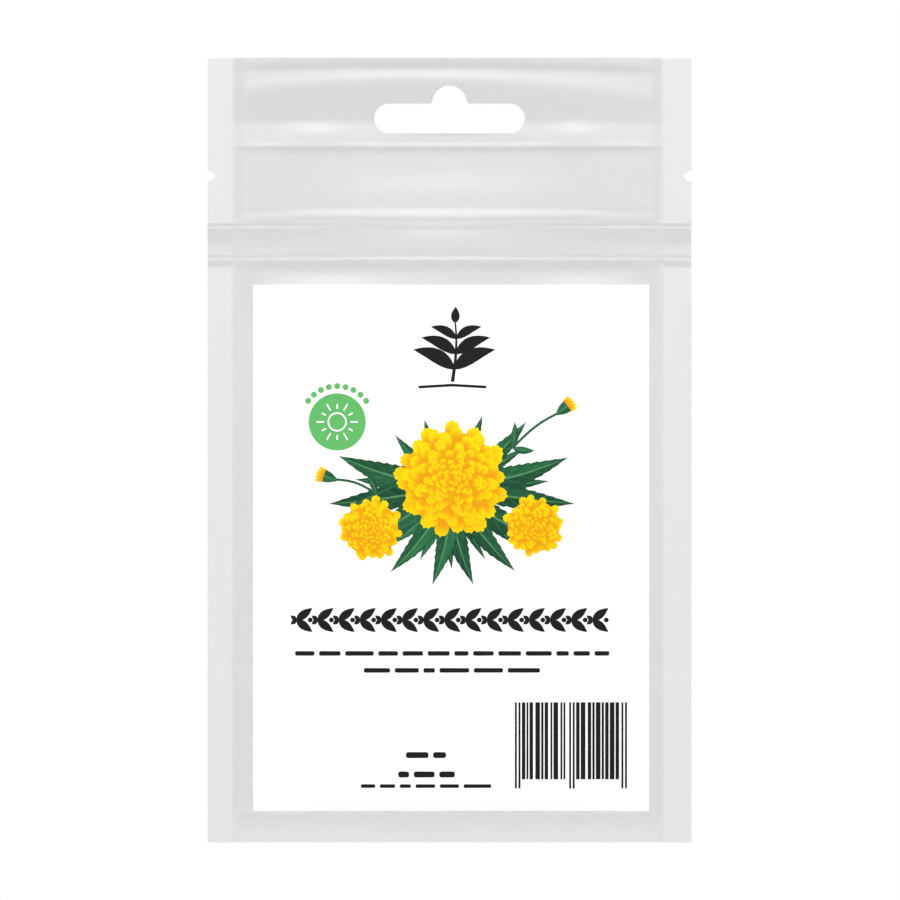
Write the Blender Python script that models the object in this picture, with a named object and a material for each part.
"""A resealable seed packet: a flat zip pouch that hangs from a peg, with its label and its seeds.

The packet hangs upright. Its front faces -Y, and +X is to the right of someone who reads the
label. The origin is where a round peg sits in the hang slot, midway between the two films.
"""

import math
import random

import bmesh
import bpy
from mathutils import Vector
from mathutils.geometry import intersect_line_line_2d, intersect_point_line

MM = 0.001

# The pouch, with heights measured along Z from the peg
POUCH_WIDTH = 100 * MM
POUCH_HEIGHT = 162 * MM
PEG_DEPTH = 9.3 * MM  # from the top edge down to the peg
TOP = PEG_DEPTH
BOTTOM = TOP - POUCH_HEIGHT
LEFT = -POUCH_WIDTH / 2
RIGHT = POUCH_WIDTH / 2

# The films and their welds
FILM = 0.12 * MM
LAYER_GAP = 0.02 * MM  # on each side of the middle plane, and under what is stuck or welded on
LEFT_SEAL = 5.1 * MM
RIGHT_SEAL = 5.9 * MM
BOTTOM_SEAL = 6.0 * MM
CAVITY_LEFT = LEFT + LEFT_SEAL
CAVITY_RIGHT = RIGHT - RIGHT_SEAL
CAVITY_FOOT = BOTTOM + BOTTOM_SEAL
HEADER_SEAL_TOP = TOP - 13.6 * MM
HEADER_SEAL_FOOT = TOP - 18.3 * MM

# How far each film stands off the middle plane where it is fullest
FRONT = {"facing": -1, "header": 0.45 * MM, "cell": 0.45 * MM, "body": 0.5 * MM}
BACK = {"facing": 1, "header": 0.25 * MM, "cell": 0.35 * MM, "body": 2.0 * MM}
HEADER_MOUTH = 0.5  # share of the header's fullness that is left at its open top edge
HEADER_RISE = 7.0 * MM
CELL_RISE = 4.0 * MM
BODY_RISE = 8.0 * MM
BODY_FALL = 16.0 * MM
BODY_TOP_SHARE = 0.55  # the seeds fill the foot of the pouch, so it is slimmer towards the zip

# The hang slot: a bar with round ends and a round bump for the peg above its middle
SLOT_LENGTH = 31.1 * MM
SLOT_TOP = TOP - 9.4 * MM
SLOT_FOOT = TOP - 15.5 * MM
BUMP_RADIUS = 3.6 * MM
SLOT_FILLET = 0.6 * MM
CUTTER_REACH = 5 * MM

# The tear notches
NOTCH_DEPTH = 1.65 * MM
NOTCH_HEIGHT = 2.1 * MM
NOTCH_Z = TOP - 24.3 * MM

# The zip: two strips, each with a flange and two tracks that lock into the other's
ZIP_TOP = TOP - 33.8 * MM
ZIP_FOOT = TOP - 42.1 * MM
TRACK_SPACING = 6.4 * MM
ZIP_HALF = 0.68 * MM  # half of the closed zip's thickness
FLANGE = 0.18 * MM
RIB_STEM = 0.16 * MM  # half widths from here on
RIB_HEAD = 0.34 * MM
RIB_TIP = 0.12 * MM
GROOVE_MOUTH = 0.24 * MM
GROOVE_INSIDE = 0.42 * MM
GROOVE_OUTSIDE = 0.66 * MM
HEAD_SHOULDER = -0.05 * MM  # along Y, towards the front
HEAD_END = -0.4 * MM
LIP_UNDER = 0.03 * MM
LIP_OVER = 0.3 * MM
CRUSH = 0.28  # share of the zip's thickness left where the side seals crush it
CRUSH_RUN = 4.0 * MM
ZIP_MARGIN = 0.4 * MM
ZIP_SLOPE = 2.4 * MM

# The label
LABEL_WIDTH = 81.75 * MM
LABEL_SHIFT = 0.34 * MM
LABEL_TOP = TOP - 46.8 * MM
LABEL_FOOT = TOP - 155.5 * MM
LABEL_PAPER = 0.1 * MM
LABEL_LEFT = LABEL_SHIFT - LABEL_WIDTH / 2
LABEL_RIGHT = LABEL_SHIFT + LABEL_WIDTH / 2

# The seeds: a black achene with a straw tuft at its top
SEED_COUNT = 50
ACHENE_LENGTH = 7.0 * MM
TUFT_LENGTH = 4.0 * MM
SEED_LENGTH = ACHENE_LENGTH + TUFT_LENGTH
SEED_RADIUS = 0.5 * MM
SEED_SIDES = 6
SEED_PROFILE = (  # (share of the length, share of the radius), from the base to the tuft's tips
    (0.0, 0.3),
    (0.2, 0.75),
    (0.56, 1.0),
    (0.64, 0.7),
    (0.82, 0.9),
    (1.0, 0.35),
)
SEED_CLEARANCE = 0.06 * MM
SEED_SPREAD = 30 * MM  # the heap's half width at the middles of its outermost seeds
SEED_TILT = math.radians(38)
SEED_TRIES = 10
DROP_HEIGHT = 34 * MM
DROP_STEP = 0.3 * MM

CELL_STEP = 7.5 * MM  # the coarsest mesh cell of a film


def smooth(share):
    """0 to 1 with level ends while share runs from 0 to 1, and held outside that."""
    share = min(max(share, 0.0), 1.0)
    return share * share * (3 - 2 * share)


def rounded(share):
    """0 to 1, steep at first and level at its end, as a film leaves a weld."""
    share = min(max(share, 0.0), 1.0)
    return 1 - (1 - share) ** 2


def across(x):
    """The share of its fullness that a film has here: none in the side seals, all in the middle."""
    middle = (CAVITY_LEFT + CAVITY_RIGHT) / 2
    half = (CAVITY_RIGHT - CAVITY_LEFT) / 2
    return max(0.0, 1 - (abs(x - middle) / half) ** 4)


def zip_thickness(x):
    """The share of the zip's thickness here: all in the middle, and crushed flat in the side seals."""
    inside = min(x - CAVITY_LEFT, CAVITY_RIGHT - x)
    return CRUSH + (1 - CRUSH) * smooth(inside / CRUSH_RUN)


def header_bulge(z):
    if z <= HEADER_SEAL_TOP:
        return 0.0
    mouth = 1 - (1 - HEADER_MOUTH) * smooth((z - HEADER_SEAL_TOP - HEADER_RISE) / HEADER_RISE)
    return rounded((z - HEADER_SEAL_TOP) / HEADER_RISE) * mouth


def cell_bulge(z):
    over_zip = z - ZIP_TOP - ZIP_MARGIN
    under_seal = HEADER_SEAL_FOOT - z
    if over_zip <= 0 or under_seal <= 0:
        return 0.0
    return rounded(under_seal / CELL_RISE) * smooth(over_zip / CELL_RISE)


def body_bulge(z):
    over_seal = z - CAVITY_FOOT
    under_zip = ZIP_FOOT - ZIP_MARGIN - z
    if over_seal <= 0 or under_zip <= 0:
        return 0.0
    height = over_seal / (ZIP_FOOT - CAVITY_FOOT)
    fullness = 1 - (1 - BODY_TOP_SHARE) * smooth(height)
    return rounded(over_seal / BODY_RISE) * smooth(under_zip / BODY_FALL) * fullness


def zip_bulge(z):
    outside = max(z - ZIP_TOP, ZIP_FOOT - z) - ZIP_MARGIN
    return 1 - smooth(outside / ZIP_SLOPE)


def lift(side, x, z):
    """How far a film's inner face stands off the middle plane."""
    bulges = (
        side["header"] * header_bulge(z)
        + side["cell"] * cell_bulge(z)
        + side["body"] * body_bulge(z)
    )
    over_zip = ZIP_HALF * zip_thickness(x) * zip_bulge(z)
    return LAYER_GAP + across(x) * bulges + over_zip


def stations(marks, step):
    """The marks in order, with evenly spaced points between them no further apart than step."""
    marks = sorted(marks)
    found = marks[:1]
    for low, high in zip(marks, marks[1:]):
        count = math.ceil(round((high - low) / step, 3))
        found += [low + (high - low) * i / count for i in range(1, count + 1)]
    return found


def film_columns():
    """X of each line of vertices up a film, with all that the zip and the label need."""
    crush = [CRUSH_RUN * share for share in (0, 0.25, 0.5, 0.75, 1)]
    marks = [LEFT, RIGHT, LABEL_LEFT, LABEL_RIGHT]
    marks += [CAVITY_LEFT + run for run in crush]
    marks += [CAVITY_RIGHT - run for run in crush]
    return stations(marks, CELL_STEP)


def film_rows():
    """Z of each line of vertices across a film."""
    coarse = stations([LABEL_FOOT + BODY_RISE, LABEL_TOP - BODY_FALL], CELL_STEP)
    fine = stations([BOTTOM, CAVITY_FOOT, LABEL_FOOT, LABEL_FOOT + BODY_RISE], BODY_RISE / 4)[:-1]
    fine += stations([LABEL_TOP - BODY_FALL, LABEL_TOP], BODY_FALL / 4)[1:]
    fine += stations([LABEL_TOP, ZIP_FOOT - ZIP_MARGIN], ZIP_SLOPE / 3)[1:]
    fine += stations([ZIP_TOP + ZIP_MARGIN, ZIP_TOP + ZIP_MARGIN + ZIP_SLOPE], ZIP_SLOPE / 3)
    fine += stations([ZIP_TOP + ZIP_MARGIN + ZIP_SLOPE, HEADER_SEAL_FOOT], CELL_RISE / 2)[1:]
    fine += stations([HEADER_SEAL_TOP, TOP], HEADER_RISE / 3)
    return sorted(coarse + fine)


def within(values, low, high):
    tiny = 0.001 * MM
    return [value for value in values if low - tiny <= value <= high + tiny]


def make_material(name, colour, roughness, alpha=1.0):
    material = bpy.data.materials.new(name)
    material.use_nodes = True
    shader = material.node_tree.nodes["Principled BSDF"]
    shader.inputs["Base Color"].default_value = (*colour, 1.0)
    shader.inputs["Roughness"].default_value = roughness
    shader.inputs["Metallic"].default_value = 0.0
    shader.inputs["Alpha"].default_value = alpha
    return material


def mesh_of(name, shape, material):
    """A mesh with its faces pointing out, from a bmesh that is then freed."""
    bmesh.ops.recalc_face_normals(shape, faces=shape.faces)
    mesh = bpy.data.meshes.new(name)
    shape.to_mesh(mesh)
    shape.free()
    mesh.materials.append(material)
    return mesh


def add_object(name, mesh):
    thing = bpy.data.objects.new(name, mesh)
    bpy.context.collection.objects.link(thing)
    return thing


def sheet(name, columns, rows, face, thickness, material):
    """A thin sheet between Y = face(x, z) and that far again by thickness.

    Each cell is split the same way, so two layers with the same cells nest without touching.
    """
    shape = bmesh.new()
    grid = [[shape.verts.new((x, face(x, z), z)) for x in columns] for z in rows]
    for low, high in zip(grid, grid[1:]):
        for a, b, c, d in zip(low, low[1:], high[1:], high):
            shape.faces.new((a, b, c))
            shape.faces.new((a, c, d))
    grown = bmesh.ops.extrude_face_region(shape, geom=shape.faces[:], use_keep_orig=True)
    far_side = [item for item in grown["geom"] if isinstance(item, bmesh.types.BMVert)]
    bmesh.ops.translate(shape, verts=far_side, vec=(0, thickness, 0))
    return add_object(name, mesh_of(name, shape, material))


def arc(centre, radius, start, end, steps):
    """Points round an arc in the XZ plane, with its angles in degrees."""
    angles = [math.radians(start + (end - start) * i / steps) for i in range(steps + 1)]
    return [(centre[0] + radius * math.cos(a), centre[1] + radius * math.sin(a)) for a in angles]


def slot_outline():
    """The hang slot, anticlockwise from the foot of its right end."""
    end_radius = (SLOT_TOP - SLOT_FOOT) / 2
    end_x = SLOT_LENGTH / 2 - end_radius
    end_z = (SLOT_TOP + SLOT_FOOT) / 2
    fillet_z = SLOT_TOP + SLOT_FILLET
    fillet_x = math.sqrt((BUMP_RADIUS + SLOT_FILLET) ** 2 - fillet_z**2)
    lean = math.degrees(math.atan2(fillet_z, fillet_x))
    return (
        arc((end_x, end_z), end_radius, -90, 90, 10)
        + arc((fillet_x, fillet_z), SLOT_FILLET, 270, 180 + lean, 3)
        + arc((0, 0), BUMP_RADIUS, lean, 180 - lean, 12)[1:-1]
        + arc((-fillet_x, fillet_z), SLOT_FILLET, -lean, -90, 3)
        + arc((-end_x, end_z), end_radius, 90, 270, 10)
    )


def notch_outline(edge_x):
    """A rounded nick, as deep as the notch on either side of the pouch's edge."""
    circle = arc((0, 0), 1, 0, 360, 14)[:-1]
    return [(edge_x + NOTCH_DEPTH * x, NOTCH_Z + NOTCH_HEIGHT / 2 * z) for x, z in circle]


def add_cutter(name, outline, material):
    """A prism along Y that a Boolean takes out of both films."""
    shape = bmesh.new()
    face = shape.faces.new([shape.verts.new((x, -CUTTER_REACH, z)) for x, z in outline])
    grown = bmesh.ops.extrude_face_region(shape, geom=[face], use_keep_orig=True)
    far_side = [item for item in grown["geom"] if isinstance(item, bmesh.types.BMVert)]
    bmesh.ops.translate(shape, verts=far_side, vec=(0, 2 * CUTTER_REACH, 0))
    cutter = add_object(name, mesh_of(name, shape, material))
    cutter.hide_render = True
    cutter.display_type = "WIRE"
    return cutter


def add_film(name, side, material, cutters):
    """One web of the pouch, with the hang slot and the tear notches punched out of it."""
    facing = side["facing"]
    film = sheet(
        name,
        film_columns(),
        film_rows(),
        lambda x, z: facing * lift(side, x, z),
        facing * FILM,
        material,
    )
    for cutter in cutters:
        punch = film.modifiers.new(cutter.name, "BOOLEAN")
        punch.operation = "DIFFERENCE"
        punch.object = cutter
    return film


def add_label(material):
    """The paper label, stuck to the front film and following its shape."""
    under = FILM + 2 * LAYER_GAP
    return sheet(
        "label",
        within(film_columns(), LABEL_LEFT, LABEL_RIGHT),
        within(film_rows(), LABEL_FOOT, LABEL_TOP),
        lambda x, z: -lift(FRONT, x, z) - under,
        -LABEL_PAPER,
        material,
    )


def zip_columns():
    """X of each section of a zip strip."""
    return [x for x in film_columns() if zip_thickness(x) < 1] + [
        CAVITY_LEFT + CRUSH_RUN,
        CAVITY_RIGHT - CRUSH_RUN,
    ]


def track_centres():
    middle = (ZIP_TOP + ZIP_FOOT) / 2
    return (middle - TRACK_SPACING / 2, middle + TRACK_SPACING / 2)


def rib_section():
    """(y, z) round the strip with two ribs, whose flange is on the back film."""
    root = ZIP_HALF - FLANGE
    points = [(ZIP_HALF, ZIP_TOP), (ZIP_HALF, ZIP_FOOT), (root, ZIP_FOOT)]
    for z in track_centres():
        points += [
            (root, z - RIB_STEM),
            (HEAD_SHOULDER, z - RIB_STEM),
            (HEAD_SHOULDER, z - RIB_HEAD),
            (HEAD_END, z - RIB_TIP),
            (HEAD_END, z + RIB_TIP),
            (HEAD_SHOULDER, z + RIB_HEAD),
            (HEAD_SHOULDER, z + RIB_STEM),
            (root, z + RIB_STEM),
        ]
    return points + [(root, ZIP_TOP)]


def groove_section():
    """(y, z) round the strip with two grooves, whose flange is on the front film."""
    root = FLANGE - ZIP_HALF
    points = [(-ZIP_HALF, ZIP_TOP), (-ZIP_HALF, ZIP_FOOT), (root, ZIP_FOOT)]
    for z in track_centres():
        points += [
            (root, z - GROOVE_OUTSIDE),
            (LIP_OVER, z - GROOVE_OUTSIDE),
            (LIP_OVER, z - GROOVE_MOUTH),
            (LIP_UNDER, z - GROOVE_MOUTH),
            (LIP_UNDER, z - GROOVE_INSIDE),
            (root, z - GROOVE_INSIDE),
            (root, z + GROOVE_INSIDE),
            (LIP_UNDER, z + GROOVE_INSIDE),
            (LIP_UNDER, z + GROOVE_MOUTH),
            (LIP_OVER, z + GROOVE_MOUTH),
            (LIP_OVER, z + GROOVE_OUTSIDE),
            (root, z + GROOVE_OUTSIDE),
        ]
    return points + [(root, ZIP_TOP)]


def add_zip_strip(name, section, material):
    """A strip run along X through each of its sections, thinner where the side seals crush it."""
    shape = bmesh.new()
    rings = []
    for x in sorted(zip_columns()):
        share = zip_thickness(x)
        rings.append([shape.verts.new((x, y * share, z)) for y, z in section])
    for near, far in zip(rings, rings[1:]):
        for a, b, c, d in zip(near, near[1:] + near[:1], far[1:] + far[:1], far):
            shape.faces.new((a, b, c, d))
    shape.faces.new(rings[0])
    shape.faces.new(rings[-1])
    return add_object(name, mesh_of(name, shape, material))


def seed_mesh(material):
    """One seed along +Z, turned from its profile, with its base at the origin."""
    shape = bmesh.new()
    rings = []
    for height, width in SEED_PROFILE:
        turn = [math.tau * i / SEED_SIDES for i in range(SEED_SIDES)]
        radius = SEED_RADIUS * width
        level = SEED_LENGTH * height
        rings.append(
            [shape.verts.new((radius * math.cos(a), radius * math.sin(a), level)) for a in turn]
        )
    for low, high in zip(rings, rings[1:]):
        for a, b, c, d in zip(low, low[1:] + low[:1], high[1:] + high[:1], high):
            shape.faces.new((a, b, c, d))
    shape.faces.new(rings[0])
    shape.faces.new(rings[-1])
    mesh = mesh_of("seed", shape, material)
    mesh.shade_smooth()
    return mesh


def seed_ends(x, z, lean):
    """A seed's two ends in the XZ plane, from its middle and its lean from level."""
    half = Vector((math.cos(lean), math.sin(lean))) * SEED_LENGTH / 2
    middle = Vector((x, z))
    return middle - half, middle + half


def seed_depth(side, ends):
    """Y of a seed that lies against one film, or None where the pouch is too thin for it."""
    points = (ends[0], (ends[0] + ends[1]) / 2, ends[1])
    fit = SEED_RADIUS + SEED_CLEARANCE
    ahead, behind = (min(lift(film, p.x, p.y) for p in points) - fit for film in (FRONT, BACK))
    if ahead + behind < 0:
        return None
    return -ahead if side is FRONT else behind


def point_gap(point, ends):
    """The distance from a point to the stretch between two ends."""
    near, share = intersect_point_line(point, *ends)
    share = min(max(share, 0.0), 1.0)
    return (point - ends[0].lerp(ends[1], share)).length


def seeds_apart(one, other):
    """Whether two seeds, each (ends, depth), are clear of each other."""
    if intersect_line_line_2d(*one[0], *other[0]):
        flat = 0.0
    else:
        flat = min(
            [point_gap(p, other[0]) for p in one[0]] + [point_gap(p, one[0]) for p in other[0]]
        )
    return math.hypot(flat, one[1] - other[1]) > 2 * SEED_RADIUS + SEED_CLEARANCE


def dropped(side, x, lean, placed):
    """Where a seed stops that falls between the films, as (ends, depth), or None."""
    rest = None
    for i in range(int(DROP_HEIGHT / DROP_STEP)):
        ends = seed_ends(x, CAVITY_FOOT + DROP_HEIGHT - i * DROP_STEP, lean)
        depth = seed_depth(side, ends)
        if depth is None or not all(seeds_apart((ends, depth), other) for other in placed):
            break
        rest = (ends, depth)
    return rest


def seed_heap(chance):
    """The seeds' resting places, each the lowest of a few falls."""
    placed = []
    for number in range(SEED_COUNT):
        side = FRONT if number % 2 else BACK
        falls = []
        for _ in range(SEED_TRIES):
            x = chance.triangular(-SEED_SPREAD, SEED_SPREAD, 0)
            falls.append(dropped(side, x, chance.gauss(0, SEED_TILT), placed))
        placed.append(min((fall for fall in falls if fall), key=lambda f: sum(f[0], Vector((0, 0))).y))
    return placed


def add_seeds(material):
    """Loose seeds in the foot of the pouch, lying either way round."""
    mesh = seed_mesh(material)
    chance = random.Random(50)
    for number, (ends, depth) in enumerate(seed_heap(chance), start=1):
        base, tip = ends if chance.random() < 0.5 else ends[::-1]
        along = Vector((tip.x - base.x, 0, tip.y - base.y))
        seed = add_object(f"seed_{number:02d}", mesh)
        seed.rotation_mode = "QUATERNION"
        seed.rotation_quaternion = along.to_track_quat("Z", "Y")
        seed.location = (base.x, depth, base.y)


def main():
    for thing in list(bpy.data.objects):
        bpy.data.objects.remove(thing)
    film = make_material("clear_film", (0.86, 0.88, 0.88), 0.25, 0.35)
    zip_plastic = make_material("zip_plastic", (0.82, 0.84, 0.84), 0.3, 0.6)
    paper = make_material("label_paper", (0.95, 0.95, 0.95), 0.6)
    seed_coat = make_material("seed_coat", (0.03, 0.025, 0.02), 0.7)
    cutters = [
        add_cutter("hang_slot_cutter", slot_outline(), film),
        add_cutter("left_notch_cutter", notch_outline(LEFT), film),
        add_cutter("right_notch_cutter", notch_outline(RIGHT), film),
    ]
    add_film("front_film", FRONT, film, cutters)
    add_film("back_film", BACK, film, cutters)
    add_zip_strip("zip_rib_strip", rib_section(), zip_plastic)
    add_zip_strip("zip_groove_strip", groove_section(), zip_plastic)
    add_label(paper)
    add_seeds(seed_coat)


main()
